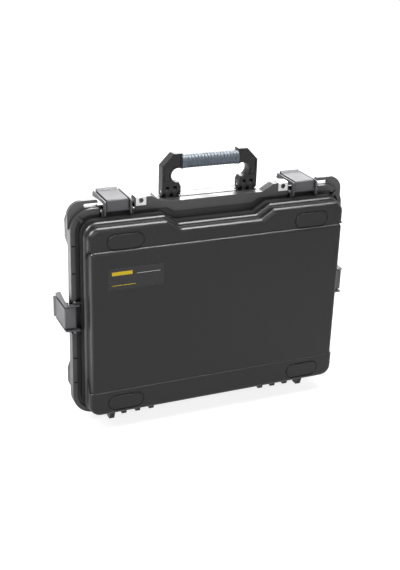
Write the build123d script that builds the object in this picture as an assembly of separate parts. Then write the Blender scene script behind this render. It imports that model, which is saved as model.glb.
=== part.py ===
from build123d import *
import math
import os

os.makedirs("parts", exist_ok=True)

# All sizes are in millimetres. X runs to the right, Y from the lid's front to the base's back, Z up.
# The case stands on its hinge side, and the origin is on the floor under the middle of its box.

# Overall size
case_width = 512.0
case_depth = 126.0
lid_depth = 54.0
rim_height = 379.0
foot_height = 15.0

# Walls and gaps
wall = 3.2
bite = 2.0
parting_gap = 0.3
fixed_fit = 0.02
running_fit = 0.05
seat_gap = 0.3

# How far the tub walls stand inside the rim
side_inset = 17.8
top_inset = 20.5
bottom_inset = 14.0
body_corner = 20.0
edge_round = 8.0

# Front of the lid: a set-back top band, a raised panel and a bottom band
band_setback = 4.6
panel_setback = 1.0
panel_inset = 2.7
panel_edge_round = 6.5
panel_side_round = 6.5
recess_corner = 14.0
ledge_round = 1.2
deep_step = 1.5
top_band_height = 40.3
bottom_band_height = 45.6
band_side_rise = 22.0
band_side_bend = 6.0

# Hand recess in the top of the lid
recess_top_half = 100.0
recess_floor_half = 74.6
recess_sink = 16.5
recess_bend = 7.0

# Soft shoulder round each tub, next to the rim
shoulder_below_rim = 16.0
shoulder_bottom_lift = 10.0
lid_shoulder_reach = 30.0
base_shoulder_reach = 20.0
shoulder_round = 7.0
shoulder_corner = 24.0

# Rim of the lid: a thin web with a thick bead along its edge
rim_corner = 38.0
web_thickness = 3.85
bead_width = 10.0
bead_side_width = 8.0
bead_thickness = 8.85
bead_drop_half = 72.0
bead_drop_ramp = 15.0
bead_drop = 8.0
notch_height = 2.4
notch_depth = 4.0
notch_land = 2.0
notch_heights = (63.0, 110.5, 268.0, 316.5)
corner_block_length = 11.6
corner_block_width = 4.4
corner_block_inset = 1.8
corner_block_proud = 2.0
corner_block_slot = 0.9

# Raised tabs with the padlock holes
tab_rise = 12.4
tab_flat_margin = 9.9
tab_ramp_lap = 1.0
tab_corner = 3.0
padlock_from_bay = 11.3
padlock_above_rim = 6.4
padlock_hole_radius = 4.3
plate_width = 18.4
plate_thickness = 1.2
plate_below_rim = 2.0
plate_bend = 1.0

# Flange of the base with its corner ears and strap slots
flange_thickness = 7.85
ear_proud = 2.0
ear_corner = 25.0
ear_length = 34.0
slot_inset = 38.6
slot_above_rim = 3.9
slot_length = 24.5
slot_height = 6.0

# Bumpers of the base
base_panel_inset = 1.2
bumper_proud = 7.0
base_top_bumper = 80.0
base_bottom_bumper = 73.0
bumper_round = 10.0
bumper_ramp = 30.0

# Seal in the lid's edge
seal_width = 4.0
seal_depth = 3.6
seal_offset = 1.9
seal_slack = 0.15

# Stacking pads and the label
pad_inset = 64.7
pad_length = 62.6
pad_height = 25.6
pad_thickness = 2.0
pad_sink = 1.6
pad_groove = 1.4
pad_lip = 1.1
pad_round = 1.7
top_pad_drop = 26.5
bottom_pad_lift = 22.5
label_inset = 29.3
label_below_panel_top = 49.4
label_length = 99.0
label_height = 38.8
label_corner = 5.0
label_thickness = 0.8

# Hinge
hinge_above_floor = 8.0
hinge_pin_radius = 2.5
knuckle_radius = 6.4
lid_knuckle_width = 8.0
knuckle_pitch = 26.2
knuckle_from_foot = 25.6
lid_knuckle_count = 3
lug_reach = 13.0
knuckle_side_gap = 0.5

# Feet on the hinge side
foot_inset = 67.3
foot_width = 9.0
lid_foot_front = 31.0
lid_foot_flare = 12.0
foot_gap_to_hinge = 4.0
base_foot_start = 12.0
base_foot_length = 47.0
foot_round = 2.0

# Latches: sizes across are from the middle of a latch
latch_inset = 81.0
side_latch_height = 190.0
latch_plate_half = 18.5
latch_groove = 3.1
cheek_thickness = 2.2
latch_length = 61.1
latch_plate_thickness = 4.0
latch_web = 3.0
latch_web_lap = 1.2
latch_above_rim = 13.3
cheek_front = 4.4
cheek_drop = 7.5
cheek_step = 0.8
cheek_flat = 20.0
latch_pivot_below_rim = 5.5
latch_pivot_front = 9.0
latch_pin_radius = 1.5
pin_head_radius = 2.4
pin_head_length = 1.0
barrel_radius = 2.6
lug_thickness = 3.6
lug_gap = 0.5
lug_radius = 3.6
bay_half = 30.5
bay_sink = 15.0
hook_thickness = 4.0
hook_gap = 1.3
hook_clearance = 0.5
lip_rise = 3.0

# Handle
handle_half = 89.0
handle_thickness = 17.0
handle_pivot_rise = 10.0
handle_behind_flange = 0.3
tine_radius = 8.5
tine_width = 7.0
tine_gap = 6.6
tine_slot_rise = 1.5
lug_side_gap = 0.25
handle_shoulder = 45.0
handle_top = 66.0
handle_top_half = 69.0
grip_half = 52.5
grip_height = 24.0
grip_depth = 23.0
grip_round = 9.0
grip_bar_height = 12.0
grip_bar_depth = 11.0
grip_rib_pitch = 6.0
grip_rib_depth = 0.8
grip_rib_width = 1.2
grip_collar = 5.0
grip_collar_step = 0.5
grip_panel_height = 5.6
grip_panel_depth = 0.8
grip_panel_half = 20.5
grip_panel_gap = 4.5
grip_panel_margin = 1.4
finger_round = 12.5
finger_round_out = 72.5
finger_round_rise = 28.5
foot_shoulder = 15.0
foot_slope_reach = 5.2
foot_slope_high = 20.0
foot_slope_low = 9.0
handle_pin_radius = 2.5
post_panel_sink = 1.0
post_groove_depth = 2.2
post_groove = 2.0
post_rib = 2.8
mount_plate_thickness = 1.2
mount_screw_radius = 1.5
mount_screw_length = 8.0
screw_head_radius = 3.0
screw_head_length = 2.2

# Raised deck of the base under the handle
deck_margin = 6.0
deck_depth = 39.0
deck_wall = 4.0
deck_round = 2.0
deck_panel_gap = 2.8
deck_panel_rise = 0.8
deck_panel_margin = 2.5

# Places worked out from the sizes above
front_y = -case_depth / 2
back_y = case_depth / 2
parting_y = front_y + lid_depth
lid_edge_y = parting_y - parting_gap / 2
base_edge_y = parting_y + parting_gap / 2
flange_back_y = base_edge_y + flange_thickness
rim_half = case_width / 2
rim_bottom = foot_height
rim_top = rim_bottom + rim_height
body_half = rim_half - side_inset
body_top = rim_top - top_inset
body_bottom = rim_bottom + bottom_inset
panel_half = body_half - panel_inset
panel_top = body_top - top_band_height
panel_bottom = body_bottom + bottom_band_height
band_y = front_y + band_setback
panel_y = front_y + panel_setback
shoulder_half = rim_half - shoulder_below_rim
shoulder_top = rim_top - shoulder_below_rim
shoulder_bottom = rim_bottom + shoulder_bottom_lift
bead_y = lid_edge_y - bead_thickness
web_y = lid_edge_y - web_thickness
lid_shoulder_y = web_y - lid_shoulder_reach
base_shoulder_y = flange_back_y + base_shoulder_reach
tab_top = rim_top + tab_rise
padlock_z = rim_top + padlock_above_rim
side_latch_z = rim_bottom + side_latch_height
latch_x = rim_half - latch_inset
padlock_x = latch_x - bay_half - padlock_from_bay
slot_x = rim_half - slot_inset
pad_x = body_half - pad_inset
label_x = label_inset + label_length / 2 - panel_half
foot_x = rim_half - foot_inset
first_knuckle_x = foot_x - knuckle_from_foot - (lid_knuckle_count - 1) * knuckle_pitch
hinge_z = hinge_above_floor
hinge_y = parting_y
base_body_half = body_half - base_panel_inset
bumper_half = body_half + bumper_proud
base_panel_y = back_y - panel_setback
deck_top = rim_top
deck_back_y = base_edge_y + deck_depth + flange_thickness
pivot_y = flange_back_y + handle_behind_flange + handle_thickness / 2
pivot_z = deck_top + handle_pivot_rise
tine_pitch = tine_width + tine_gap
foot_inner = handle_half - 2 * tine_pitch - tine_width
deck_half = handle_half + deck_margin
deck_panel_half = foot_inner - deck_panel_gap
tab_ramp_from = deck_half - tab_ramp_lap
tab_flat_from = padlock_x - plate_width / 2 - tab_flat_margin
recess_slope = math.atan2(recess_sink, recess_top_half - recess_floor_half)
recess_shift = math.tan(recess_slope / 2)


def filleted(points, radii):
    """A flat face from corner points, each corner rounded to its own radius."""
    return make_face(FilletPolyline(*points, radius=radii, close=True).edges())


def slab(face, y_low, y_high):
    """A face drawn as seen from the front, made solid from y_low to y_high."""
    return extrude(Plane.XZ.offset(-y_high) * face, amount=y_high - y_low)


def rib(face, x_low, x_high):
    """A face drawn as seen from the right, made solid from x_low to x_high."""
    return extrude(Plane.YZ.offset(x_low) * face, amount=x_high - x_low)


def block(x_low, x_high, y_low, y_high, z_low, z_high):
    """A plain box between two corners."""
    size = (x_high - x_low, y_high - y_low, z_high - z_low)
    middle = ((x_low + x_high) / 2, (y_low + y_high) / 2, (z_low + z_high) / 2)
    return Pos(*middle) * Box(*size)


def rod_x(x_low, x_high, y, z, radius):
    """A round rod along X."""
    return Pos((x_low + x_high) / 2, y, z) * Rot(0, 90, 0) * Cylinder(radius, x_high - x_low)


def rod_y(x, y_low, y_high, z, radius):
    """A round rod along Y."""
    return Pos(x, (y_low + y_high) / 2, z) * Rot(90, 0, 0) * Cylinder(radius, y_high - y_low)


def both_sides(solid):
    """A solid and its mirror image across the middle of the case."""
    return solid + mirror(solid, Plane.YZ)


def edges_near_y(solid, y):
    """The edges that lie in the plane at y."""
    return solid.edges().filter_by_position(Axis.Y, y - 0.01, y + 0.01)


def plain_outline(half, low, high, low_corner, high_corner):
    """A rounded rectangle about the middle of the case."""
    points = [(-half, low), (half, low), (half, high), (-half, high)]
    return filleted(points, [low_corner, low_corner, high_corner, high_corner])


def notched_outline(half, low, high, corners, notch_top, notch_floor, sink, bend):
    """A rounded rectangle with a dip in the middle of its top."""
    floor = high - sink
    points = [
        (-half, low),
        (half, low),
        (half, high),
        (notch_top, high),
        (notch_floor, floor),
        (-notch_floor, floor),
        (-notch_top, high),
        (-half, high),
    ]
    low_corner, high_corner = corners
    radii = [low_corner, low_corner, high_corner, bend, bend, bend, bend, high_corner]
    return filleted(points, radii)


def tub_outline(half, low, high, corner):
    """A section of the lid's tub, whose top follows the hand recess at any margin."""
    grow = high - body_top
    notch_top = recess_top_half - grow * recess_shift
    notch_floor = recess_floor_half - grow * recess_shift
    corners = (corner, corner)
    return notched_outline(half, low, high, corners, notch_top, notch_floor, recess_sink, recess_bend)


def cavity_outline(grow):
    """The hollow's section, grown outwards by a margin, with the hand recess above it."""
    half = panel_half - wall + grow
    low = body_bottom + wall - grow
    high = body_top - wall + grow
    return tub_outline(half, low, high, body_corner - wall + grow)


def base_cavity_outline(grow):
    """The base's hollow, which has no recess."""
    half = panel_half - wall + grow
    corner = body_corner - wall + grow
    return plain_outline(half, body_bottom + wall - grow, body_top - wall + grow, corner, corner)


def rim_outline():
    """The outer edge shared by the lid's web and the base's flange, with the padlock tabs."""
    outline = plain_outline(rim_half, rim_bottom, rim_top, rim_corner, rim_corner)
    tab_end = latch_x - bay_half
    points = [
        (tab_ramp_from - tab_rise, rim_top - tab_rise),
        (tab_end, rim_top - tab_rise),
        (tab_end, tab_top),
        (tab_flat_from, tab_top),
        (tab_ramp_from, rim_top),
    ]
    tab = filleted(points, [0, 0, tab_corner, 2 * tab_corner, 2 * tab_corner])
    return outline + tab + mirror(tab, Plane.YZ)


def stadium(length, height):
    """A flat oval with round ends."""
    return SlotOverall(length, height)


def pad_places():
    """Name and middle of each stacking pad as seen from the front."""
    places = {}
    for side, sign in (("left", -1), ("right", 1)):
        places["top_" + side] = (sign * pad_x, body_top - top_pad_drop)
        places["bottom_" + side] = (sign * pad_x, body_bottom + bottom_pad_lift)
    return places


def latch_places():
    """Where each latch stands: its local X runs across it and its local Z outwards from the rim."""
    return {
        "top_left": Location((-latch_x, 0, rim_top)),
        "top_right": Location((latch_x, 0, rim_top)),
        "side_left": Location((-rim_half, 0, side_latch_z), (0, -90, 0)),
        "side_right": Location((rim_half, 0, side_latch_z), (0, 90, 0)),
    }


# Places of the latch, in its own frame
latch_pivot_y = parting_y - latch_pivot_front
latch_pivot_w = -latch_pivot_below_rim
latch_front_y = latch_pivot_y - barrel_radius
cheek_out = latch_plate_half + latch_groove + cheek_thickness
cheek_in = latch_plate_half + latch_groove
cheek_top = latch_above_rim - cheek_step
cheek_front_y = latch_front_y - cheek_front
latch_back_y = latch_front_y + latch_length
under_top = latch_above_rim - latch_plate_thickness
under_bottom = under_top - latch_web
lug_in = cheek_out + lug_gap
lug_out = lug_in + lug_thickness


def latch_bay():
    """The gap in the lid's rim that the latch sits in."""
    return block(-bay_half, bay_half, front_y, lid_edge_y + 1.0, -bay_sink, tab_rise + 10.0)


def latch_lugs():
    """The two ears that hold the latch pin."""
    foot = -shoulder_below_rim - bite
    top = latch_pivot_w + lug_radius
    front = latch_pivot_y - lug_radius
    points = [(front, foot), (lid_edge_y, foot), (lid_edge_y, top), (front, top)]
    face = filleted(points, [0, 0, lug_radius / 4, lug_radius - 0.5])
    lug = rib(face, lug_in, lug_out)
    return lug + mirror(lug, Plane.YZ)


def latch_pin_hole():
    """The hole through both lugs."""
    return rod_x(-lug_out - 1, lug_out + 1, latch_pivot_y, latch_pivot_w, latch_pin_radius + fixed_fit)


def latch_pin():
    """A steel pin with a flat head at each end."""
    pin = rod_x(-lug_out, lug_out, latch_pivot_y, latch_pivot_w, latch_pin_radius)
    head = rod_x(lug_out, lug_out + pin_head_length, latch_pivot_y, latch_pivot_w, pin_head_radius)
    return pin + both_sides(head)


def latch_lever():
    """The lever: an angled plate between two thin cheeks, with a hook leg under it."""
    front = latch_front_y
    inner = front + latch_plate_thickness
    back = latch_back_y
    top = latch_above_rim
    plate_face = filleted(
        [
            (front, latch_pivot_w),
            (front, top),
            (back - 8.0, top),
            (back - 3.5, top + lip_rise),
            (back - 0.5, top + lip_rise),
            (back, under_top),
            (inner, under_top),
            (inner, latch_pivot_w),
        ],
        [0, 2.5, 1.5, 0.8, 0.8, 1.0, 0.8, 0],
    )
    plate = rib(plate_face, -latch_plate_half, latch_plate_half)
    web_front = inner - latch_web_lap
    web_back = inner + latch_web
    under_end = back - latch_plate_thickness
    under_face = filleted(
        [
            (web_front, latch_pivot_w + 2.5),
            (web_front, under_top),
            (under_end, under_top),
            (under_end, under_bottom),
            (web_back, under_bottom),
            (web_back, latch_pivot_w + 2.5),
        ],
        [0, 0, 0, 0, 0, 0],
    )
    under = rib(under_face, -cheek_in, cheek_in)
    cheek_face = filleted(
        [
            (cheek_front_y, latch_pivot_w - cheek_drop),
            (cheek_front_y, cheek_top - 2.0),
            (cheek_front_y + 2.0, cheek_top),
            (back - 1.0, cheek_top),
            (back + 2.0, under_bottom - 3.5),
            (back - 7.0, under_bottom - 3.0),
            (inner + cheek_flat, under_bottom),
            (inner, under_bottom),
            (inner, latch_pivot_w + 2.0),
            (latch_pivot_y + 3.4, latch_pivot_w - 4.0),
            (latch_pivot_y - 2.0, latch_pivot_w - cheek_drop),
        ],
        [1.5, 1.2, 1.2, 1.0, 1.5, 1.5, 4.0, 1.0, 1.5, 2.0, 1.5],
    )
    cheek = rib(cheek_face, cheek_in, cheek_out)
    barrel = rod_x(-cheek_in, cheek_in, latch_pivot_y, latch_pivot_w, barrel_radius)
    hook_y = flange_back_y + hook_gap
    hook_back = hook_y + hook_thickness
    hook = block(-latch_plate_half, latch_plate_half, hook_y, hook_back, hook_clearance, under_top)
    lever = plate + under + both_sides(cheek) + barrel + hook
    bore = latch_pin_radius + running_fit
    return lever - rod_x(-cheek_out - 1, cheek_out + 1, latch_pivot_y, latch_pivot_w, bore)


def lid_front_blocks():
    """The lid's body: top band with the hand recess, raised panel and bottom band."""
    dip = (recess_top_half, recess_floor_half, recess_sink, recess_bend)
    top_face = notched_outline(body_half, panel_top, body_top, (0, body_corner), *dip)
    top_block = slab(top_face, band_y, lid_edge_y)
    top_block = fillet(edges_near_y(top_block, band_y).sort_by(Axis.Z)[1:], edge_round)
    panel = block(-panel_half, panel_half, panel_y, lid_edge_y, panel_bottom - bite, panel_top)
    panel = fillet(edges_near_y(panel, panel_y).sort_by(Axis.Z)[-1], panel_edge_round)
    panel = fillet(edges_near_y(panel, panel_y).filter_by(Axis.Z), panel_side_round)
    bottom_face = plain_outline(body_half, body_bottom, panel_bottom, body_corner, 0)
    bottom_block = slab(bottom_face, front_y, lid_edge_y)
    bottom_edges = edges_near_y(bottom_block, front_y).sort_by(Axis.Z)
    bottom_block = fillet(bottom_edges[:-1], edge_round)
    bottom_block = fillet(edges_near_y(bottom_block, front_y).sort_by(Axis.Z)[-1], ledge_round)
    return top_block + panel + bottom_block


def lid_side_cheeks():
    """The bottom band's side walls, which rise towards the rim."""
    front = front_y + edge_round
    back = lid_shoulder_y + bite
    low = panel_bottom - 3 * bite
    high = panel_bottom + band_side_rise
    points = [(front, low), (back, low), (back, high), (front, panel_bottom - ledge_round)]
    face = filleted(points, [0, 0, 0, band_side_bend])
    return both_sides(rib(face, panel_half - wall, body_half))


def recess_corners():
    """The rounded corners under the top band, where the recessed sides meet the shoulder."""
    back = lid_shoulder_y + bite
    square = Pos((lid_shoulder_y - recess_corner + back) / 2, panel_top - recess_corner / 2 + bite / 2)
    square *= Rectangle(recess_corner + bite, recess_corner + bite)
    hollow = Pos(lid_shoulder_y - recess_corner, panel_top - recess_corner) * Circle(recess_corner)
    return both_sides(rib(square - hollow, panel_half - wall, body_half))


def corner_patch(width):
    """A rectangle across the bead at the rim's upper right corner."""
    radius = rim_corner - corner_block_inset - corner_block_length / 2
    middle = radius * math.sin(math.radians(45))
    place = Pos(rim_half - rim_corner + middle, rim_top - rim_corner + middle) * Rot(0, 0, 45)
    return place * Rectangle(corner_block_length, width)


def bead_notches():
    """Small notches in the bead's inner edge on both sides."""
    inner = rim_half - bead_side_width - 1.0
    notches = None
    for height in notch_heights:
        z = rim_bottom + height
        notch = block(inner, rim_half - notch_land, bead_y - 1.0, bead_y + notch_depth, z, z + notch_height)
        notches = notch if notches is None else notches + notch
    return both_sides(notches)


def lid_rim():
    """Web, bead and corner blocks of the lid's rim."""
    web = slab(rim_outline(), web_y, lid_edge_y)
    inner = notched_outline(
        rim_half - bead_side_width,
        rim_bottom + bead_side_width,
        rim_top - bead_width,
        (rim_corner - bead_side_width, rim_corner - bead_width),
        bead_drop_half + bead_drop_ramp,
        bead_drop_half,
        bead_drop,
        3.0,
    )
    rim = web + slab(rim_outline() - inner, bead_y, lid_edge_y) - bead_notches()
    slots = corner_patch(corner_block_width + 2 * corner_block_slot)
    rim -= both_sides(slab(slots, bead_y - 1.0, bead_y + corner_block_proud))
    corner_block = slab(corner_patch(corner_block_width), bead_y - corner_block_proud, web_y + bite)
    return rim + both_sides(corner_block)


def shoulder_ring(face, y_low, y_high, edge_y):
    """A soft step round a tub, rounded along its edge at edge_y."""
    ring = slab(face, y_low, y_high)
    return fillet(edges_near_y(ring, edge_y), shoulder_round)


def lid_knuckle_face():
    """Side view of one of the lid's hinge lugs, which ends round the pin."""
    return filleted(
        [
            (hinge_y - lug_reach, hinge_z - knuckle_radius),
            (hinge_y, hinge_z - knuckle_radius),
            (hinge_y, hinge_z),
            (hinge_y - parting_gap / 2, rim_bottom + 2.0),
            (hinge_y - lug_reach - 6.0, shoulder_bottom + 1.0),
        ],
        [3.0, 0, 0, 0, 0],
    )


def lid_knuckles():
    """The lid's hinge lugs."""
    solids = None
    for number in range(lid_knuckle_count):
        x = first_knuckle_x + number * knuckle_pitch
        low = x - lid_knuckle_width / 2
        high = x + lid_knuckle_width / 2
        lug = rib(lid_knuckle_face(), low, high) + rod_x(low, high, hinge_y, hinge_z, knuckle_radius)
        solids = lug if solids is None else solids + lug
    return both_sides(solids)


def base_knuckle_face():
    """Side view of the base's hinge lugs."""
    return filleted(
        [
            (hinge_y, hinge_z - knuckle_radius),
            (hinge_y + lug_reach, rim_bottom + 1.0),
            (hinge_y + lug_reach, shoulder_bottom + 1.0),
            (hinge_y + parting_gap / 2, rim_bottom + 2.0),
            (hinge_y, hinge_z),
        ],
        [0, 0, 0, 0, 0],
    )


def base_knuckles():
    """The base's hinge lugs, which fill the spaces between the lid's."""
    width = knuckle_pitch - lid_knuckle_width - 2 * knuckle_side_gap
    solids = None
    for number in range(lid_knuckle_count - 1):
        x = first_knuckle_x + (number + 0.5) * knuckle_pitch
        low = x - width / 2
        high = x + width / 2
        lug = rib(base_knuckle_face(), low, high) + rod_x(low, high, hinge_y, hinge_z, knuckle_radius)
        solids = lug if solids is None else solids + lug
    return both_sides(solids)


def hinge_pin_span():
    """Ends of the right hinge pin."""
    low = first_knuckle_x - lid_knuckle_width / 2
    high = first_knuckle_x + (lid_knuckle_count - 1) * knuckle_pitch + lid_knuckle_width / 2
    return low, high


def hinge_pin():
    """The right hinge pin."""
    low, high = hinge_pin_span()
    return rod_x(low, high, hinge_y, hinge_z, hinge_pin_radius)


def hinge_bore(gap):
    """The bore for both hinge pins."""
    low, high = hinge_pin_span()
    return both_sides(rod_x(low - 1, high + 1, hinge_y, hinge_z, hinge_pin_radius + gap))


def lid_feet():
    """Two tapered feet under the lid."""
    face = filleted(
        [
            (hinge_y - lid_foot_front, body_bottom + 3.0),
            (hinge_y - lid_foot_front + lid_foot_flare, 0),
            (hinge_y - foot_gap_to_hinge, 0),
            (hinge_y - foot_gap_to_hinge, rim_bottom + 1.0),
            (hinge_y - foot_gap_to_hinge - 6.0, body_bottom + 3.0),
        ],
        [0, foot_round, foot_round, 0, 0],
    )
    return both_sides(rib(face, foot_x - foot_width / 2, foot_x + foot_width / 2))


def base_feet():
    """Two feet under the base, in line with the lid's."""
    start = hinge_y + base_foot_start
    end = start + base_foot_length
    face = filleted(
        [(start, body_bottom + 3.0), (start, 0), (end, 0), (end + 6.0, body_bottom + 3.0)],
        [0, foot_round, foot_round, 0],
    )
    return both_sides(rib(face, foot_x - foot_width / 2, foot_x + foot_width / 2))


def pad_mouth(surface, direction):
    """The bevelled mouth of a pad's pocket."""
    grow = 2 * (pad_groove + pad_lip)
    floor = surface + direction * pad_lip
    outside = surface - direction
    mouth = slab(stadium(pad_length + grow, pad_height + grow), min(floor, outside), max(floor, outside))
    return chamfer(edges_near_y(mouth, floor), pad_lip - 0.01)


def pad_pockets(floor_by_row, direction):
    """Shallow pockets for the stacking pads, cut inwards from each row's face."""
    pockets = None
    for name, (x, z) in pad_places().items():
        face = Pos(x, z) * stadium(pad_length + 2 * pad_groove, pad_height + 2 * pad_groove)
        surface = floor_by_row[name.split("_")[0]]
        low = min(surface - direction, surface + direction * pad_sink)
        high = max(surface - direction, surface + direction * pad_sink)
        pocket = slab(face, low, high) + Pos(x, 0, z) * pad_mouth(surface, direction)
        pockets = pocket if pockets is None else pockets + pocket
    return pockets


def pad(x, z, surface, direction):
    """One stacking pad, seated on its pocket's floor, with a rounded outer edge."""
    floor = surface + direction * pad_sink
    outer = floor - direction * pad_thickness
    solid = slab(Pos(x, z) * stadium(pad_length, pad_height), min(floor, outer), max(floor, outer))
    return fillet(edges_near_y(solid, outer), pad_round)


def label_outline(grow):
    """The label's rounded rectangle."""
    z = panel_top - label_below_panel_top
    length = label_length + 2 * grow
    height = label_height + 2 * grow
    return Pos(label_x, z) * RectangleRounded(length, height, label_corner + grow)


def lid_shell():
    """The lid: one moulded tub with rim, hinge lugs, latch lugs and feet."""
    body = lid_front_blocks() + lid_side_cheeks() + recess_corners()
    shoulder_face = tub_outline(shoulder_half, shoulder_bottom, shoulder_top, shoulder_corner)
    body += shoulder_ring(shoulder_face, lid_shoulder_y, lid_edge_y, lid_shoulder_y)
    body += lid_rim()
    body += lid_feet()
    body += lid_knuckles()
    body -= slab(cavity_outline(0), band_y + wall, lid_edge_y + 1.0)
    deep_half = panel_half - wall - deep_step
    deep_low = body_bottom + wall + deep_step
    deep_high = panel_top - wall - deep_step
    deep_face = plain_outline(deep_half, deep_low, deep_high, body_corner - wall, edge_round / 2)
    body -= slab(deep_face, panel_y + wall, lid_edge_y)
    for place in latch_places().values():
        body -= place * latch_bay()
        body += place * latch_lugs()
        body -= place * latch_pin_hole()
    body -= hinge_bore(running_fit)
    groove = cavity_outline(seal_offset + seal_width) - cavity_outline(seal_offset)
    body -= slab(groove, lid_edge_y - seal_depth, lid_edge_y + 1.0)
    body -= pad_pockets({"top": band_y, "bottom": front_y}, 1)
    body -= slab(label_outline(seal_slack), panel_y - 1.0, panel_y + label_thickness)
    body -= both_sides(rod_y(padlock_x, bead_y - 1.0, lid_edge_y + 1.0, padlock_z, padlock_hole_radius))
    return body


def lid_seal():
    """The soft seal in the groove of the lid's edge."""
    outer = cavity_outline(seal_offset + seal_width - seal_slack)
    inner = cavity_outline(seal_offset + seal_slack)
    return slab(outer - inner, lid_edge_y - seal_depth, lid_edge_y - seal_slack)


def label_plate():
    """The bare label in its shallow recess."""
    return slab(label_outline(0), panel_y - 0.2, panel_y + label_thickness)


def folded_plate(face_y, edge_y, outwards):
    """A right steel plate: a leg on the tab's face with the hole, folded over the tab's top."""
    low = padlock_x - plate_width / 2
    high = padlock_x + plate_width / 2
    outer = face_y + outwards * plate_thickness
    top = tab_top + plate_thickness
    leg = block(low, high, min(face_y, outer), max(face_y, outer), rim_top - plate_below_rim, top)
    fold = block(low, high, min(edge_y, outer), max(edge_y, outer), tab_top, top)
    plate = leg + fold
    top_edges = plate.edges().filter_by(Axis.X).sort_by(Axis.Z)[-2:].sort_by(Axis.Y)
    plate = fillet(top_edges[0] if outwards < 0 else top_edges[-1], plate_bend)
    low_y = min(face_y, outer) - 1.0
    high_y = max(face_y, outer) + 1.0
    return plate - rod_y(padlock_x, low_y, high_y, padlock_z, padlock_hole_radius)


def padlock_plate():
    """The steel plate on the lid's right tab."""
    return folded_plate(bead_y, lid_edge_y, -1)


def base_padlock_plate():
    """The steel plate on the base's right tab."""
    return folded_plate(flange_back_y, base_edge_y, 1)


def base_flange():
    """The base's flange with padlock tabs, corner ears and strap slots."""
    flange = slab(rim_outline(), base_edge_y, flange_back_y)
    ear_in = latch_x + bay_half
    ear_out = rim_half + ear_proud
    ear_low = rim_top - ear_length
    points = [(ear_in, ear_low), (ear_out, ear_low), (ear_out, tab_top), (ear_in, tab_top)]
    ear_face = filleted(points, [0, 0, ear_corner, tab_corner])
    flange += both_sides(slab(ear_face, base_edge_y, flange_back_y))
    slot = Pos(slot_x, rim_top + slot_above_rim) * stadium(slot_length, slot_height)
    flange -= both_sides(slab(slot, base_edge_y - 1.0, flange_back_y + 1.0))
    hole = rod_y(padlock_x, base_edge_y - 1.0, flange_back_y + 1.0, padlock_z, padlock_hole_radius)
    return flange - both_sides(hole)


def bumper_outline(low, high, ramped_low):
    """A bumper's front view: square to the sides, and sloped into them at its free end."""
    inner = base_body_half - bite
    if ramped_low:
        points = [(-inner, low), (inner, low), (bumper_half, low + bumper_ramp), (bumper_half, high)]
        points += [(-bumper_half, high), (-bumper_half, low + bumper_ramp)]
        return filleted(points, [0, 0, bumper_ramp / 2, body_corner, body_corner, bumper_ramp / 2])
    points = [(-bumper_half, low), (bumper_half, low), (bumper_half, high - bumper_ramp), (inner, high)]
    points += [(-inner, high), (-bumper_half, high - bumper_ramp)]
    return filleted(points, [body_corner, body_corner, bumper_ramp / 2, 0, 0, bumper_ramp / 2])


def base_body():
    """The base's tub with a bumper along its top and bottom."""
    core_face = plain_outline(base_body_half, body_bottom, body_top, body_corner, body_corner)
    core = slab(core_face, base_edge_y, base_panel_y)
    core = fillet(edges_near_y(core, base_panel_y), edge_round)
    top_low = body_top - base_top_bumper
    top_face = bumper_outline(top_low, body_top, True)
    top_bumper = slab(top_face, base_shoulder_y, back_y)
    top_bumper = fillet(edges_near_y(top_bumper, back_y), bumper_round)
    bottom_high = body_bottom + base_bottom_bumper
    bottom_face = bumper_outline(body_bottom, bottom_high, False)
    bottom_bumper = slab(bottom_face, base_shoulder_y, back_y)
    bottom_bumper = fillet(edges_near_y(bottom_bumper, back_y), bumper_round)
    return core + top_bumper + bottom_bumper


def deck():
    """The raised deck that carries the handle."""
    solid = block(-deck_half, deck_half, base_edge_y, deck_back_y, body_top - 12.0, deck_top)
    solid = fillet(edges_near_y(solid, deck_back_y).sort_by(Axis.Z)[-1], 2 * deck_round)
    front = flange_back_y + deck_panel_margin
    back = deck_back_y - 2 * deck_round - deck_panel_margin
    panel = block(-deck_panel_half, deck_panel_half, front, back, deck_top - 1.0, deck_top + deck_panel_rise)
    return solid + panel


def base_shell():
    """The base: one moulded tub with flange, deck, hinge lugs and feet."""
    body = base_body()
    corners = (shoulder_corner, shoulder_corner)
    shoulder_face = plain_outline(shoulder_half, shoulder_bottom, shoulder_top, *corners)
    body += shoulder_ring(shoulder_face, base_edge_y, base_shoulder_y, base_shoulder_y)
    body += base_flange()
    body += deck()
    body += base_feet()
    body += base_knuckles()
    body -= slab(base_cavity_outline(0), base_edge_y - 1.0, base_panel_y - wall)
    body -= block(
        -deck_half + deck_wall,
        deck_half - deck_wall,
        flange_back_y,
        deck_back_y - deck_wall,
        body_top - wall - 1.0,
        deck_top - deck_wall,
    )
    body -= hinge_bore(fixed_fit)
    body -= pad_pockets({"top": back_y, "bottom": back_y}, -1)
    for solid in mount_screw_holes():
        body -= solid
    return body


def gap_middles():
    """Middles of the two gaps between the right foot's tines."""
    return [handle_half - tine_width - tine_gap / 2 - number * tine_pitch for number in (0, 1)]


def mount_screw_holes():
    """Clearance holes through the deck for the handle mounts' screws."""
    holes = []
    for x in gap_middles():
        for side in (-1, 1):
            hole = Cylinder(mount_screw_radius + running_fit, deck_wall + 2.0)
            holes.append(Pos(side * x, pivot_y, deck_top - deck_wall / 2) * hole)
    return holes


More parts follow.
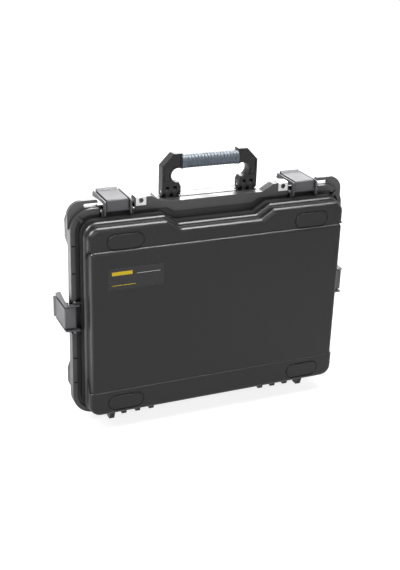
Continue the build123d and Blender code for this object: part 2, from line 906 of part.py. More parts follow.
def handle_mount():
    """The right mount: a thin plate with two upright lugs for the handle pin."""
    foot_in = foot_inner
    plate_top = deck_top + mount_plate_thickness
    solid = block(foot_in, handle_half, pivot_y - 9.0, pivot_y + 9.0, deck_top, plate_top)
    lug_half = tine_gap / 2 - lug_side_gap
    for x in gap_middles():
        near = pivot_y - tine_radius
        far = pivot_y + tine_radius
        lug = block(x - lug_half, x + lug_half, near, far, deck_top, pivot_z)
        solid += lug + rod_x(x - lug_half, x + lug_half, pivot_y, pivot_z, tine_radius)
    solid -= rod_x(foot_in - 1, handle_half + 1, pivot_y, pivot_z, handle_pin_radius + running_fit)
    depth = mount_screw_length - deck_wall
    for x in gap_middles():
        hole = Cylinder(mount_screw_radius + fixed_fit, depth + seat_gap)
        solid -= Pos(x, pivot_y, deck_top + depth / 2) * hole
    return solid


def mount_screws():
    """The four screws that hold the mounts from inside the base."""
    underside = deck_top - deck_wall
    screws = None
    for x in gap_middles():
        shank = Cylinder(mount_screw_radius, mount_screw_length)
        head = Cylinder(screw_head_radius, screw_head_length)
        screw = Pos(x, pivot_y, underside + mount_screw_length / 2) * shank
        screw += Pos(x, pivot_y, underside - screw_head_length / 2) * head
        screws = screw if screws is None else screws + screw
    return both_sides(screws)


def handle_profile(inset=0.0):
    """Front view of the handle's right half, from the pivot up to the top bar, less an inset."""
    foot_in = foot_inner
    z = pivot_z
    grip_low = z + handle_top - 4.0 - grip_height
    points = [
        (foot_in, z),
        (handle_half, z),
        (handle_half, z + handle_shoulder),
        (handle_top_half, z + handle_top),
        (grip_half, z + handle_top),
        (grip_half, grip_low),
        (foot_in + 2.0, grip_low),
        (foot_in + foot_slope_reach, z + foot_slope_high),
        (foot_in, z + foot_slope_low),
    ]
    face = filleted(points, [0, 0, 3.0, 4.0, 0, 0, 0, 0, 2.0])
    if inset:
        face = offset(face, -inset)
    finger_place = Pos(finger_round_out - finger_round, z + finger_round_rise)
    return face - finger_place * Circle(finger_round + inset)


def post_surround(margin):
    """What a post's sunk face keeps clear of by a margin: the foot below and the grip beside."""
    foot = Rectangle(3 * handle_half, 2 * (foot_shoulder + margin))
    grip = Rectangle(2 * (grip_half + margin), 3 * handle_top)
    return Pos(0, pivot_z) * (foot + grip)


def handle_frame():
    """The black frame: two posts on forked feet, joined by a bar inside the grip."""
    y_low = pivot_y - handle_thickness / 2
    y_high = pivot_y + handle_thickness / 2
    post = slab(handle_profile(), y_low, y_high)
    recess = handle_profile(post_rib) - post_surround(post_rib)
    inner = post_rib + post_groove
    panel = handle_profile(inner) - post_surround(inner)
    sink = slab(recess, y_low - 1.0, y_low + post_groove_depth)
    sink -= slab(panel, y_low + post_panel_sink, y_low + post_groove_depth)
    post -= sink
    post -= mirror(sink, Plane.XZ.offset(-pivot_y))
    foot_in = foot_inner
    post += rod_x(foot_in, handle_half, pivot_y, pivot_z, tine_radius)
    half = tine_gap / 2
    slot_low = pivot_z - tine_radius - bite
    slot_high = pivot_z + tine_radius + tine_slot_rise
    for x in gap_middles():
        post -= block(x - half, x + half, y_low - 1.0, y_high + 1.0, slot_low, slot_high)
    post -= rod_x(foot_in - 1, handle_half + 1, pivot_y, pivot_z, handle_pin_radius + fixed_fit)
    bar_z = pivot_z + handle_top - 4.0 - grip_height / 2
    bar = block(
        -grip_half - 1.0,
        grip_half + 1.0,
        pivot_y - grip_bar_depth / 2,
        pivot_y + grip_bar_depth / 2,
        bar_z - grip_bar_height / 2,
        bar_z + grip_bar_height / 2,
    )
    return both_sides(post) + bar


def handle_grip():
    """The soft grip round the bar, with a row of ribs above and below and plain collars."""
    z = pivot_z + handle_top - 4.0 - grip_height / 2
    reach = grip_half - grip_collar
    slim = 2 * grip_collar_step
    section = Pos(pivot_y, z) * RectangleRounded(grip_depth - slim, grip_height - slim, grip_round)
    grip = rib(section, -grip_half, grip_half)
    collar = Pos(pivot_y, z) * RectangleRounded(grip_depth, grip_height, grip_round)
    grip += both_sides(rib(collar, reach, grip_half))
    deep = slim + 2 * grip_rib_depth
    waist = Pos(pivot_y, z) * (
        Rectangle(grip_depth + 4.0, grip_height + 4.0)
        - RectangleRounded(grip_depth - deep, grip_height - deep, grip_round)
        - Rectangle(grip_depth + 6.0, grip_panel_height + 2 * grip_panel_margin)
    )
    count = int((2 * reach - grip_rib_pitch) / grip_rib_pitch)
    for number in range(count + 1):
        x = (number - count / 2) * grip_rib_pitch
        grip -= rib(waist, x - grip_rib_width / 2, x + grip_rib_width / 2)
    floor = grip_depth / 2 - grip_collar_step - grip_panel_depth
    half = grip_panel_height / 2
    middle = block(-grip_panel_half, grip_panel_half, floor, grip_depth, -half, half)
    end = block(grip_panel_half + grip_panel_gap, reach - 1.0, floor, grip_depth, -half, half)
    panels = Pos(0, pivot_y, z) * (middle + both_sides(end))
    grip -= panels
    grip -= mirror(panels, Plane.XZ.offset(-pivot_y))
    bore = Pos(pivot_y, z) * Rectangle(grip_bar_depth, grip_bar_height)
    return grip - rib(bore, -grip_half - 1.0, grip_half + 1.0)


def handle_pin():
    """The right handle pin."""
    return rod_x(foot_inner + 0.5, handle_half - 0.5, pivot_y, pivot_z, handle_pin_radius)


def build():
    """Every piece by its name."""
    pieces = {
        "lid_shell": lid_shell(),
        "lid_seal": lid_seal(),
        "label_plate": label_plate(),
        "base_shell": base_shell(),
        "handle_frame": handle_frame(),
        "handle_grip": handle_grip(),
        "handle_mount_screws": mount_screws(),
    }
    pairs = {
        "padlock_plate": padlock_plate(),
        "base_padlock_plate": base_padlock_plate(),
        "hinge_pin": hinge_pin(),
        "handle_mount": handle_mount(),
        "handle_pin": handle_pin(),
    }
    for name, solid in pairs.items():
        pieces[name + "_right"] = solid
        pieces[name + "_left"] = mirror(solid, Plane.YZ)
    for name, (x, z) in pad_places().items():
        surface = band_y if name.startswith("top") else front_y
        pieces["lid_pad_" + name] = pad(x, z, surface, 1)
        pieces["base_pad_" + name] = pad(x, z, back_y, -1)
    for name, place in latch_places().items():
        pieces["latch_lever_" + name] = place * latch_lever()
        pieces["latch_pin_" + name] = place * latch_pin()
    return pieces


for piece_name, piece in build().items():
    piece.label = piece_name
    export_step(piece, "parts/" + piece_name + ".step")
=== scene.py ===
"""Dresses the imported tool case: finishes for every piece, the label's print, and a stage."""

import math

import bmesh
import bpy
from bpy.props import FloatProperty, FloatVectorProperty, PointerProperty
from mathutils import Matrix, Vector


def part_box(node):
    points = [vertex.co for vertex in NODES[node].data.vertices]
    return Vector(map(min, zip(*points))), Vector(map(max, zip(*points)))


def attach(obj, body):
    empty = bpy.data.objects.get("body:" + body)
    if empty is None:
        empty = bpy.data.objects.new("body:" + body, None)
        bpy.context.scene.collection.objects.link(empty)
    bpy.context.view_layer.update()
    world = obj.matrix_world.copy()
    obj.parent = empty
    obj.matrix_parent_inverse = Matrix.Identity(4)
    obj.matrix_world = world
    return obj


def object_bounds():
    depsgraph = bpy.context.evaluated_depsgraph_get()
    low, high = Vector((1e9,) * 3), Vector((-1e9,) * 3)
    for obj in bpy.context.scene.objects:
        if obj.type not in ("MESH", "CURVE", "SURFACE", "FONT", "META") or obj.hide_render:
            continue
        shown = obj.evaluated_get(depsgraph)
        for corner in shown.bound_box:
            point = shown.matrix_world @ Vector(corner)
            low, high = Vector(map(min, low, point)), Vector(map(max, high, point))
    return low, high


bl_info = {
    "name": "Moulded tool case",
    "version": (1, 0, 0),
    "blender": (4, 5, 0),
    "location": "3D View > Sidebar > Tool case",
    "description": "Dresses the packed tool case and sets up its studio",
    "category": "Object",
}

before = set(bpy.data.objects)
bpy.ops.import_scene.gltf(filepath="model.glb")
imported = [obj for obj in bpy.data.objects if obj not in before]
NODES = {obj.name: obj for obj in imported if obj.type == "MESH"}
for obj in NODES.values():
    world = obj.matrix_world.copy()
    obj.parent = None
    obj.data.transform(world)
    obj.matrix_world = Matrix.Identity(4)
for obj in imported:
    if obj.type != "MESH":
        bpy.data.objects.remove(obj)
cad_low, cad_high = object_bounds()

SCREWS = "handle_mount_screws"
PADS = [name for name in NODES if "_pad_" in name]
LEVERS = [name for name in NODES if name.startswith("latch_lever")]
PINS = [name for name in NODES if "_pin_" in name] + [SCREWS]
PLATES = [name for name in NODES if "padlock_plate" in name]
MOUNTS = [name for name in NODES if name.startswith("handle_mount_") and name != SCREWS]

# All lengths are in metres, unless a line says otherwise.

# The rim's lighter colour, which is painted light, is full this near the plane where lid and base
# meet, and gone this far off.
RIM_FULL = 0.022
RIM_GONE = 0.030

# How dark painted shade makes a finish deep in a gap, and how strong its long scuffs are.
CREVICE_PAINTED_SHADE = 0.35
RUBBER_CREVICE_PAINTED_SHADE = 0.10
SCUFF_STRENGTH = 0.35
PLASTIC_IOR = 1.46
RUBBER_IOR = 1.5
FILM_IOR = 1.5

# Ways in which noise is drawn out: long scuffs, a plate's brushing and a pin's drawing marks.
SCUFF_WAY = (0.9, 0.9, 0.06)
PLATE_WAY = (1.0, 1.0, 0.05)
PIN_WAY = (0.05, 1.0, 1.0)

# The modifiers that round sharp edges.
WELD_REACH = 0.000004
BEVEL_ANGLE = math.radians(32.0)
BEVEL_SEGMENTS = 2

# The label's print: the low rule's length beside the bar's, and the gap from bar to high rule.
LOW_RULE_SHARE = 1.15
BAR_GAP = 0.008
LABEL_COLOUR = (0.012, 0.012, 0.012)
SEAL_COLOUR = (0.02, 0.02, 0.02)

# Camera: its sensor's width in millimetres and how near and far it sees.
SENSOR_WIDTH = 36.0
CAMERA_NEAR = 0.01
CAMERA_FAR = 100.0

# Heights on the world's unit sphere between which its white fades into the dim ceiling.
CEILING_STARTS = 0.44
CEILING_ENDS = 0.66
WHITE = (1.0, 1.0, 1.0, 1.0)

# The floor's glow: for the camera it grows between two distances, and reflections see less of it.
GLOW_NEAR = 0.80
GLOW_FAR = 0.97
GLOW_STARTS = 0.9
GLOW_ENDS = 3.0
GLOW_MIRRORED = 0.56
FLOOR_DARK = (0.50, 0.50, 0.50, 1.0)
FLOOR_PALE = (0.52, 0.52, 0.52, 1.0)
FLOOR_DROP = 0.0002

# Each lamp's name, the setting that holds its power, the power of its twin beside its own, its
# size, its place and what it faces, where nothing stands for the middle of the case.
LAMPS = (
    ("top lamp", "top_power", 3.2, (1.0, 1.4), (0.35, 0.0, 2.0), None),
    ("back lamp", "back_power", 0.0, (1.9, 1.25), (1.35, 3.0, 1.7), (0.0, 0.0, 0.4)),
    ("left lamp", "left_power", 5.1, (1.0, 1.0), (-1.6, -0.1, 1.7), None),
    ("low lamp", "low_power", 1.0, (1.1, 1.5), (-0.95, 0.45, 0.004), (-0.95, 0.45, 1.0)),
    ("fill lamp", "fill_power", 0.0, (1.6, 1.6), (-0.6, -2.4, 1.2), None),
)
TWIN_GAP = 0.05


def colour_property(name, description, default):
    """A colour that a user can change."""
    return FloatVectorProperty(
        name=name,
        description=description,
        default=default,
        subtype="COLOR",
        size=3,
        min=0.0,
        max=1.0,
    )


def length_property(name, description, default):
    """A length that a user can change."""
    return FloatProperty(
        name=name, description=description, default=default, unit="LENGTH", precision=5
    )


def power_property(name, description, default):
    """A lamp's power that a user can change."""
    return FloatProperty(name=name, description=description, default=default, unit="POWER")


def share_property(name, description, default):
    """A number from 0 to 1 that a user can change."""
    return FloatProperty(name=name, description=description, default=default, min=0.0, max=1.0)


class CaseFinishSettings(bpy.types.PropertyGroup):
    """Colours and surface detail of the case's pieces."""

    shell_colour: colour_property(
        "Shell colour", "Colour of the moulded shells", (0.0060, 0.0060, 0.0064)
    )
    # The rim colour is lighter than the black plastic, and so is painted light.
    painted_rim_light: colour_property("Rim painted light", "Lighter colour of the lid's rim, standing for painted light", (0.090, 0.088, 0.092))
    # The flange colour is lighter than the black plastic, and so is painted light.
    painted_flange_light: colour_property(
        "Flange painted light", "Lighter colour of the base's flange and ears, standing for painted light", (0.125, 0.123, 0.127)
    )
    # The latch colour is lighter than the black plastic, and so is painted light.
    painted_lever_light: colour_property(
        "Latch painted light", "Lighter colour of the latch levers, standing for painted light", (0.140, 0.138, 0.147)
    )
    handle_colour: colour_property(
        "Handle colour", "Colour of the handle frame", (0.0075, 0.0075, 0.0080)
    )
    grip_colour: colour_property("Grip colour", "Colour of the soft grip", (0.150, 0.178, 0.215))
    # The worn edge colour is partly wear and partly a painted highlight.
    worn_and_highlit_colour: colour_property(
        "Worn and highlit edge colour", "Colour of rubbed plastic edges, partly a painted highlight", (0.060, 0.060, 0.062)
    )
    steel_colour: colour_property(
        "Steel colour", "Colour of the steel plates and pins", (0.74, 0.74, 0.73)
    )
    shell_roughness: share_property("Shell roughness", "Roughness of the shells", 0.36)
    lever_roughness: share_property("Latch roughness", "Roughness of the latches", 0.55)
    grain_size: length_property("Grain size", "Width of one grain of the moulded texture", 0.0009)
    grain_depth: length_property("Grain depth", "Depth of the moulded texture", 0.000010)
    edge_round: length_property("Edge rounding", "Rounding of the pieces' sharp edges", 0.0005)


class LabelPrintSettings(bpy.types.PropertyGroup):
    """The plain bars printed on the bare label."""

    bar_colour: colour_property("Bar colour", "Colour of the wide bar", (0.80, 0.56, 0.01))
    rule_colour: colour_property("Rule colour", "Colour of the high rule", (0.62, 0.62, 0.60))
    margin: length_property("Margin", "Space round the print", 0.007)
    bar_length: length_property("Bar length", "Length of the wide bar", 0.036)
    bar_height: length_property("Bar height", "Height of the wide bar", 0.0065)
    rule_height: length_property("Rule height", "Height of the thin rules", 0.0009)
    ink: length_property("Ink thickness", "Thickness of the print", 0.00005)


class StageSettings(bpy.types.PropertyGroup):
    """Studio, lamps and camera."""

    sky_level: share_property("Sky level", "Light from all round", 0.16)
    ceiling_level: share_property("Ceiling level", "Light of the dim ceiling", 0.10)
    top_power: power_property("Top lamp", "Power of the top lamp", 24.0)
    back_power: power_property("Back lamp", "Power of the back lamp", 70.0)
    left_power: power_property("Left lamp", "Power of the left lamp", 14.0)
    low_power: power_property("Low lamp", "Power of the lamp along the floor", 8.0)
    fill_power: power_property("Fill lamp", "Power of the fill lamp", 22.0)
    floor_size: length_property("Floor size", "Side of the square floor", 40.0)
    lens: FloatProperty(
        name="Lens", description="Focal length of the camera", default=62.82, min=1.0
    )
    camera_place: FloatVectorProperty(
        name="Camera place",
        description="Where the camera stands",
        default=(-0.6826, -1.5019, 0.9162),
        unit="LENGTH",
    )
    camera_aim: FloatVectorProperty(
        name="Camera aim",
        description="The way the camera looks",
        default=(0.37558, 0.84165, -0.38803),
    )
    camera_roll: FloatProperty(
        name="Camera roll",
        description="Turn of the camera about its aim",
        default=math.radians(1.93),
        unit="ROTATION",
    )


class Tree:
    """A node tree, built a node at a time."""

    def __init__(self, owner, output):
        owner.use_nodes = True
        self.tree = owner.node_tree
        self.tree.nodes.clear()
        self.output = self.node(output)

    def node(self, kind, inputs=None, **settings):
        """Adds a node, with its settings, and its inputs as values or links."""
        made = self.tree.nodes.new(kind)
        for name, value in settings.items():
            setattr(made, name, value)
        for name, value in (inputs or {}).items():
            self.put(made.inputs[name], value)
        return made

    def put(self, socket, value):
        """Gives a socket a link or a plain value."""
        if isinstance(value, bpy.types.NodeSocket):
            self.tree.links.new(value, socket)
        else:
            socket.default_value = value

    def spread(self, value, low, high, to_low=0.0, to_high=1.0, way="LINEAR"):
        """Maps one range onto another, clamped."""
        ends = {"From Min": low, "From Max": high, "To Min": to_low, "To Max": to_high}
        made = self.node("ShaderNodeMapRange", {"Value": value, **ends}, interpolation_type=way)
        return made.outputs["Result"]

    def maths(self, operation, first, second):
        """One sum."""
        inputs = {0: first, 1: second}
        return self.node("ShaderNodeMath", inputs, operation=operation).outputs[0]


class Shader(Tree):
    """A material's node tree."""

    def __init__(self, name):
        self.material = bpy.data.materials.new(name)
        super().__init__(self.material, "ShaderNodeOutputMaterial")
        self.place = self.node("ShaderNodeTexCoord").outputs["Object"]

    def noise(self, size, detail=2.0, roughness=0.5, stretch=None):
        """Noise whose features are about this wide."""
        place = self.place
        if stretch:
            inputs = {"Vector": place, "Scale": stretch}
            place = self.node("ShaderNodeMapping", inputs).outputs["Vector"]
        inputs = {"Vector": place, "Scale": 1.0 / size, "Detail": detail, "Roughness": roughness}
        return self.node("ShaderNodeTexNoise", inputs).outputs["Fac"]

    def cells(self, size):
        """Distance to the nearest of a field of points this far apart."""
        inputs = {"Vector": self.place, "Scale": 1.0 / size}
        return self.node("ShaderNodeTexVoronoi", inputs).outputs["Distance"]

    def mix(self, factor, first, second):
        """Blends two colours. The node's colour sockets share their names, so numbers find them."""
        inputs = {0: factor, 6: first, 7: second}
        return self.node("ShaderNodeMix", inputs, data_type="RGBA").outputs[2]

    def openness(self, reach):
        """How open the surface is, from 0 deep in a gap to 1 in the clear."""
        found = self.node("ShaderNodeAmbientOcclusion", {"Distance": reach}, samples=6)
        return self.spread(found.outputs["AO"], 0.35, 0.9)

    def edges(self, radius):
        """A mask of the edges sharper than this radius."""
        soft = self.node("ShaderNodeBevel", {"Radius": radius}, samples=4).outputs["Normal"]
        hard = self.node("ShaderNodeNewGeometry").outputs["Normal"]
        both = self.node("ShaderNodeVectorMath", {0: soft, 1: hard}, operation="DOT_PRODUCT")
        return self.spread(both.outputs["Value"], 0.995, 0.80)

    def bump(self, height, distance, normal=None):
        """Turns a height into a normal, on top of another normal if there is one."""
        inputs = {"Height": height, "Distance": distance, "Strength": 1.0}
        if normal:
            inputs["Normal"] = normal
        return self.node("ShaderNodeBump", inputs).outputs["Normal"]

    def principled(self, **inputs):
        """Ends the tree in a principled shader."""
        made = self.node("ShaderNodeBsdfPrincipled")
        for name, value in inputs.items():
            socket = name.replace("_", " ").title().replace("Ior", "IOR")
            self.put(made.inputs[socket], value)
        self.put(self.output.inputs["Surface"], made.outputs["BSDF"])
        return self.material


def rgba(colour):
    """A colour with full alpha."""
    return (colour[0], colour[1], colour[2], 1.0)


def scaled(colour, factor):
    """A colour made darker or lighter, with full alpha."""
    return rgba([part * factor for part in colour])


def moulded_finish(
    name, colour, worn_and_highlit, roughness, grain, depth, wear_and_highlight, rim=None, edge=0.0011, gap=0.022
):
    """Moulded plastic with a fine grain, faint mottling, rubbed edges and a few long scuffs.

    A lighter rim colour, which is painted light, shows near the plane where lid and base meet.
    Edges sharper than edge are rubbed: their paler colour is partly wear and partly a painted
    highlight. Gaps narrower than about gap are darker with painted shade.
    """
    s = Shader(name)
    mottle = s.noise(0.06, detail=3.0)
    body = s.mix(mottle, scaled(colour, 0.82), scaled(colour, 1.2))
    # Painted light: a lighter rim colour near the plane where lid and base meet.
    if rim:
        depthwise = s.node("ShaderNodeSeparateXYZ", {"Vector": s.place}).outputs["Y"]
        near = s.spread(s.maths("ABSOLUTE", depthwise, 0.0), RIM_FULL, RIM_GONE, 1.0, 0.0)
        body = s.mix(near, body, s.mix(mottle, scaled(rim, 0.8), scaled(rim, 1.2)))
    # Painted shade: the colour darkens deep in gaps, where shade falls.
    body = s.mix(s.openness(gap), scaled(colour, CREVICE_PAINTED_SHADE), body)
    # Paler rubbed edges: partly wear and partly a painted highlight.
    patches = s.spread(s.noise(0.012, detail=4.0), 0.35, 0.7, 0.15, wear_and_highlight)
    rub_and_highlight = s.maths("MULTIPLY", s.edges(edge), patches)
    lines = s.spread(s.noise(0.004, roughness=0.6, stretch=SCUFF_WAY), 0.66, 0.74)
    areas = s.spread(s.noise(0.09), 0.5, 0.7, 0.0, SCUFF_STRENGTH)
    marks = s.maths("MAXIMUM", rub_and_highlight, s.maths("MULTIPLY", lines, areas))
    base = s.mix(marks, body, rgba(worn_and_highlit))
    gloss = s.spread(s.noise(0.025, detail=3.0), 0.3, 0.7, roughness - 0.05, roughness + 0.06)
    gloss = s.maths("SUBTRACT", gloss, s.maths("MULTIPLY", marks, 0.08))
    grains = s.bump(s.cells(grain), depth)
    fine = s.bump(s.noise(grain * 0.45), depth * 0.5, grains)
    return s.principled(base_color=base, roughness=gloss, normal=fine, ior=PLASTIC_IOR)


def rubber_finish(name, colour, roughness):
    """Soft rubber with a dusty bloom, paler edges, painted shade in its grooves and fine pores."""
    s = Shader(name)
    bloom = s.spread(s.noise(0.014, detail=4.0), 0.35, 0.7)
    base = s.mix(bloom, scaled(colour, 0.85), scaled(colour, 1.18))
    base = s.mix(s.maths("MULTIPLY", s.edges(0.0009), 0.5), base, scaled(colour, 1.7))
    # Painted shade: the colour darkens deep in grooves.
    base = s.mix(s.openness(0.0035), scaled(colour, RUBBER_CREVICE_PAINTED_SHADE), base)
    gloss = s.spread(s.noise(0.006, detail=3.0), 0.3, 0.7, roughness - 0.06, roughness + 0.06)
    pores = s.bump(s.noise(0.0007, detail=3.0), 0.00004)
    return s.principled(base_color=base, roughness=gloss, normal=pores, ior=RUBBER_IOR)


def steel_finish(name, colour, roughness, brushing):
    """Steel brushed one way, with small stains and bright edges."""
    s = Shader(name)
    streaks = s.noise(0.0006, detail=3.0, roughness=0.6, stretch=brushing)
    stain = s.spread(s.noise(0.008, detail=4.0), 0.45, 0.75, 0.0, 0.35)
    base = s.mix(stain, rgba(colour), scaled(colour, 0.72))
    base = s.mix(s.maths("MULTIPLY", s.edges(0.0006), 0.6), base, scaled(colour, 1.2))
    gloss = s.spread(streaks, 0.3, 0.7, roughness - 0.07, roughness + 0.09)
    brushed = s.bump(streaks, 0.00002)
    return s.principled(base_color=base, metallic=1.0, roughness=gloss, normal=brushed)


def film_finish(name, colour, roughness):
    """Smooth printed film with faint handling marks."""
    s = Shader(name)
    smear = s.noise(0.012, detail=4.0, roughness=0.6)
    base = s.mix(smear, scaled(colour, 0.9), scaled(colour, 1.1))
    gloss = s.spread(smear, 0.3, 0.75, roughness - 0.04, roughness + 0.10)
    ripple = s.bump(s.noise(0.003), 0.00001)
    return s.principled(base_color=base, roughness=gloss, normal=ripple, ior=FILM_IOR)


def paint(names, material):
    """Puts one finish on CAD pieces."""
    for name in names:
        piece = NODES[name]
        if not piece.material_slots:
            piece.data.materials.append(material)
        for slot in piece.material_slots:
            slot.material = material


def soften(names, radius):
    """Rounds the sharp edges of CAD pieces with modifiers, so that they catch the light."""
    for name in names:
        piece = NODES[name]
        weld = piece.modifiers.new("join", "WELD")
        weld.merge_threshold = WELD_REACH
        bevel = piece.modifiers.new("edge", "BEVEL")
        bevel.width = radius
        bevel.segments = BEVEL_SEGMENTS
        bevel.limit_method = "ANGLE"
        bevel.angle_limit = BEVEL_ANGLE
        bevel.use_clamp_overlap = True
        bevel.harden_normals = False
        bevel.miter_outer = "MITER_ARC"


def add_box(mesh, low, high):
    """Adds a box to a mesh."""
    size = Vector(high) - Vector(low)
    middle = (Vector(low) + Vector(high)) / 2
    place = Matrix.Translation(middle) @ Matrix.Diagonal((size.x, size.y, size.z, 1.0))
    bmesh.ops.create_cube(mesh, size=1.0, matrix=place)


def object_from(mesh, name):
    """Makes a named object in the scene from a finished mesh."""
    data = bpy.data.meshes.new(name)
    mesh.to_mesh(data)
    mesh.free()
    made = bpy.data.objects.new(name, data)
    bpy.context.scene.collection.objects.link(made)
    return made


class TOOLCASE_OT_stage(bpy.types.Operator):
    """Makes the camera, world, floor and lamps."""

    bl_idname = "toolcase.stage"
    bl_label = "Stage"

    def camera(self, settings):
        """The camera at the photograph's place."""
        data = bpy.data.cameras.new("camera")
        data.lens = settings.lens
        data.sensor_width = SENSOR_WIDTH
        data.clip_start = CAMERA_NEAR
        data.clip_end = CAMERA_FAR
        camera = bpy.data.objects.new("camera", data)
        bpy.context.scene.collection.objects.link(camera)
        aim = Vector(settings.camera_aim).normalized()
        right = aim.cross(Vector((0, 0, 1))).normalized()
        up = right.cross(aim)
        turn = settings.camera_roll
        leaned_right = right * math.cos(turn) + up * math.sin(turn)
        leaned_up = up * math.cos(turn) - right * math.sin(turn)
        matrix = Matrix((leaned_right, leaned_up, -aim)).transposed().to_4x4()
        matrix.translation = Vector(settings.camera_place)
        camera.matrix_world = matrix
        bpy.context.scene.camera = camera

    def world(self, settings):
        """Even light all round, seen as white below a dim ceiling by camera and reflections."""
        world = bpy.data.worlds.new("studio")
        bpy.context.scene.world = world
        s = Tree(world, "ShaderNodeOutputWorld")
        rays = s.node("ShaderNodeLightPath").outputs
        seen = s.maths("MAXIMUM", rays["Is Camera Ray"], rays["Is Glossy Ray"])
        clear = s.maths("MAXIMUM", seen, rays["Is Transmission Ray"])
        way = s.node("ShaderNodeTexCoord").outputs["Generated"]
        height = s.node("ShaderNodeSeparateXYZ", {"Vector": way}).outputs["Z"]
        overhead = (CEILING_STARTS, CEILING_ENDS, 1.0, settings.ceiling_level)
        ceiling = s.spread(height, *overhead, way="SMOOTHSTEP")
        level = s.spread(clear, 0.0, 1.0, settings.sky_level, ceiling)
        background = s.node("ShaderNodeBackground", {"Color": WHITE, "Strength": level})
        s.put(s.output.inputs["Surface"], background.outputs["Background"])

    def floor(self, settings):
        """A pale floor that fades into the white behind it and keeps a soft shadow."""
        mesh = bmesh.new()
        half = settings.floor_size / 2
        bmesh.ops.create_grid(mesh, x_segments=1, y_segments=1, size=half)
        floor = object_from(mesh, "floor")
        floor.location = (0, 0, -FLOOR_DROP)
        s = Shader("pale floor")
        rays = s.node("ShaderNodeLightPath").outputs
        mirrored = s.maths("MAXIMUM", rays["Is Glossy Ray"], rays["Is Transmission Ray"])
        distance = s.node("ShaderNodeVectorMath", {0: s.place}, operation="LENGTH").outputs["Value"]
        pale = s.spread(distance, GLOW_STARTS, GLOW_ENDS, GLOW_NEAR, GLOW_FAR)
        direct = s.maths("MULTIPLY", rays["Is Camera Ray"], pale)
        glow = s.maths("MAXIMUM", direct, s.maths("MULTIPLY", mirrored, GLOW_MIRRORED))
        colour = s.mix(s.spread(s.noise(0.4), 0.3, 0.7), FLOOR_DARK, FLOOR_PALE)
        diffuse = s.node("ShaderNodeBsdfDiffuse", {"Color": colour})
        lit = s.node("ShaderNodeEmission", {"Color": WHITE, "Strength": glow})
        both = s.node("ShaderNodeAddShader", {0: diffuse.outputs[0], 1: lit.outputs[0]})
        s.put(s.output.inputs["Surface"], both.outputs[0])
        floor.data.materials.append(s.material)

    def lamp(self, name, power, gloss, size, place, target):
        """A rectangular soft lamp, and a twin of gloss times its power that lights no matt surface.

        The twin stands a little behind, because two lamps in one place dim each other.
        """
        way = Vector(target) - Vector(place)
        for part, share, back in ((name, 1.0, 0.0), (name + " gloss", gloss, TWIN_GAP)):
            if share == 0.0:
                continue
            data = bpy.data.lights.new(part, "AREA")
            data.shape = "RECTANGLE"
            data.size, data.size_y = size
            data.energy = power * share
            lamp = bpy.data.objects.new(part, data)
            lamp.location = Vector(place) - way.normalized() * back
            lamp.rotation_mode = "QUATERNION"
            lamp.rotation_quaternion = way.to_track_quat("-Z", "Y")
            lamp.visible_camera = False
            lamp.visible_diffuse = part == name
            bpy.context.scene.collection.objects.link(lamp)

    def execute(self, context):
        settings = context.scene.case_stage
        context.scene.view_settings.view_transform = "Standard"
        self.camera(settings)
        self.world(settings)
        self.floor(settings)
        middle = (cad_low + cad_high) / 2
        for name, power, gloss, size, place, target in LAMPS:
            self.lamp(name, getattr(settings, power), gloss, size, place, target or middle)
        if context.scene.camera is None:
            raise RuntimeError("the stage has no camera")
        return {"FINISHED"}


class TOOLCASE_OT_shells(bpy.types.Operator):
    """Gives both shells and their pads the grained moulded finish, and the seal its rubber."""

    bl_idname = "toolcase.shells"
    bl_label = "Shells, pads and seal"

    def execute(self, context):
        look = context.scene.case_finish
        mould = {
            "roughness": look.shell_roughness,
            "grain": look.grain_size,
            "depth": look.grain_depth,
        }
        # The lid's rim and the base's flange get lighter colours, which are painted light.
        for half, rim in (("lid", look.painted_rim_light), ("base", look.painted_flange_light)):
            colours = (look.shell_colour, look.worn_and_highlit_colour)
            finish = moulded_finish("moulded " + half, *colours, wear_and_highlight=0.55, rim=rim, **mould)
            paint([half + "_shell"], finish)
        # The pads' edges are paler still, partly wear and partly a painted highlight on their rims.
        colours = (scaled(look.shell_colour, 0.92), scaled(look.worn_and_highlit_colour, 2.4))
        paint(PADS, moulded_finish("moulded pad", *colours, wear_and_highlight=1.0, edge=0.0014, **mould))
        paint(["lid_seal"], rubber_finish("seal rubber", SEAL_COLOUR, 0.7))
        return {"FINISHED"}


class TOOLCASE_OT_latches(bpy.types.Operator):
    """Gives the latch levers a satin finish with rounded edges."""

    bl_idname = "toolcase.latches"
    bl_label = "Latches"

    def execute(self, context):
        look = context.scene.case_finish
        # The latches' lighter colour is painted light.
        satin = moulded_finish(
            "satin latch",
            look.painted_lever_light,
            look.worn_and_highlit_colour,
            roughness=look.lever_roughness,
            grain=look.grain_size * 0.6,
            depth=look.grain_depth * 0.25,
            wear_and_highlight=0.7,
        )
        paint(LEVERS, satin)
        soften(LEVERS, look.edge_round)
        return {"FINISHED"}


class TOOLCASE_OT_handle(bpy.types.Operator):
    """Finishes the handle frame, its mounts and its soft grip."""

    bl_idname = "toolcase.handle"
    bl_label = "Handle"

    def execute(self, context):
        look = context.scene.case_finish
        # The frame's edges are paler still, partly wear and partly a painted highlight, and its
        # narrow grooves get painted shade.
        satin = moulded_finish(
            "satin handle",
            look.handle_colour,
            scaled(look.worn_and_highlit_colour, 2.2),
            roughness=0.40,
            grain=look.grain_size * 0.7,
            depth=look.grain_depth * 0.5,
            wear_and_highlight=1.0,
            edge=0.0016,
            gap=0.006,
        )
        paint(["handle_frame", *MOUNTS], satin)
        paint(["handle_grip"], rubber_finish("grip rubber", look.grip_colour, 0.45))
        soften(["handle_frame", *MOUNTS], look.edge_round)
        return {"FINISHED"}


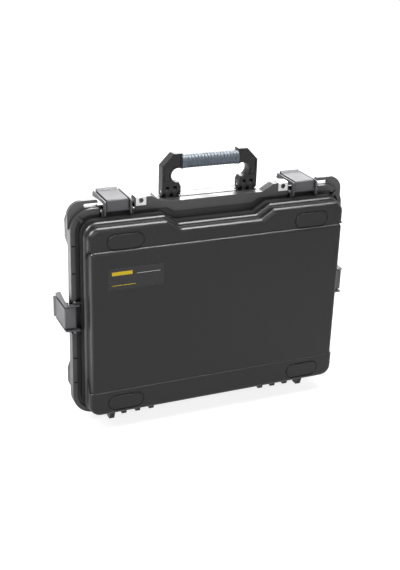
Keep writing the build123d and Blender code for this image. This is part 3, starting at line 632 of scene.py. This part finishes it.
class TOOLCASE_OT_steel(bpy.types.Operator):
    """Finishes the padlock plates, pins and screws."""

    bl_idname = "toolcase.steel"
    bl_label = "Steel"

    def execute(self, context):
        look = context.scene.case_finish
        paint(PLATES, steel_finish("brushed plate", look.steel_colour, 0.32, PLATE_WAY))
        paint(PINS, steel_finish("drawn pin", look.steel_colour, 0.28, PIN_WAY))
        soften(PLATES, look.edge_round * 0.6)
        return {"FINISHED"}


class TOOLCASE_OT_label(bpy.types.Operator):
    """Finishes the label and prints plain bars on it."""

    bl_idname = "toolcase.label"
    bl_label = "Label"

    def execute(self, context):
        prints = context.scene.case_label
        paint(["label_plate"], film_finish("label film", LABEL_COLOUR, 0.22))
        yellow = film_finish("yellow ink", prints.bar_colour, 0.35)
        white = film_finish("white ink", prints.rule_colour, 0.35)
        low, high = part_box("label_plate")
        left = low.x + prints.margin
        right = high.x - prints.margin
        top = high.z - prints.margin
        middle = top - prints.bar_height
        bottom = low.z + prints.margin
        bar_end = left + prints.bar_length
        low_end = left + prints.bar_length * LOW_RULE_SHARE
        rule = prints.rule_height
        bars = (
            ("label_bar", yellow, left, bar_end, middle, top),
            ("label_rule_low", yellow, left, low_end, bottom, bottom + rule),
            ("label_rule_high", white, bar_end + BAR_GAP, right, middle, middle + rule),
        )
        for name, ink, x0, x1, z0, z1 in bars:
            mesh = bmesh.new()
            add_box(mesh, (x0, low.y - prints.ink, z0), (x1, low.y, z1))
            piece = object_from(mesh, name)
            piece.data.materials.append(ink)
            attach(piece, "lid")
        return {"FINISHED"}


class TOOLCASE_PT_panel(bpy.types.Panel):
    """Lists the settings and the operators."""

    bl_idname = "TOOLCASE_PT_panel"
    bl_label = "Tool case"
    bl_space_type = "VIEW_3D"
    bl_region_type = "UI"
    bl_category = "Tool case"

    def draw(self, context):
        scene = context.scene
        for group in (scene.case_finish, scene.case_label, scene.case_stage):
            box = self.layout.box()
            for name in group.__annotations__:
                box.prop(group, name)
        for operator in OPERATORS:
            self.layout.operator(operator.bl_idname)


OPERATORS = (
    TOOLCASE_OT_stage,
    TOOLCASE_OT_shells,
    TOOLCASE_OT_latches,
    TOOLCASE_OT_handle,
    TOOLCASE_OT_steel,
    TOOLCASE_OT_label,
)
CLASSES = (
    CaseFinishSettings,
    LabelPrintSettings,
    StageSettings,
    *OPERATORS,
    TOOLCASE_PT_panel,
)


def register():
    """Registers the classes and hangs the settings on the scene."""
    for cls in CLASSES:
        bpy.utils.register_class(cls)
    bpy.types.Scene.case_finish = PointerProperty(type=CaseFinishSettings)
    bpy.types.Scene.case_label = PointerProperty(type=LabelPrintSettings)
    bpy.types.Scene.case_stage = PointerProperty(type=StageSettings)


def unregister():
    """Takes the settings and classes away again."""
    del bpy.types.Scene.case_stage
    del bpy.types.Scene.case_label
    del bpy.types.Scene.case_finish
    for cls in reversed(CLASSES):
        bpy.utils.unregister_class(cls)


def main():
    """Builds the whole scene."""
    register()
    bpy.ops.toolcase.stage()
    bpy.ops.toolcase.shells()
    bpy.ops.toolcase.latches()
    bpy.ops.toolcase.handle()
    bpy.ops.toolcase.steel()
    bpy.ops.toolcase.label()


if __name__ == "__main__":
    main()
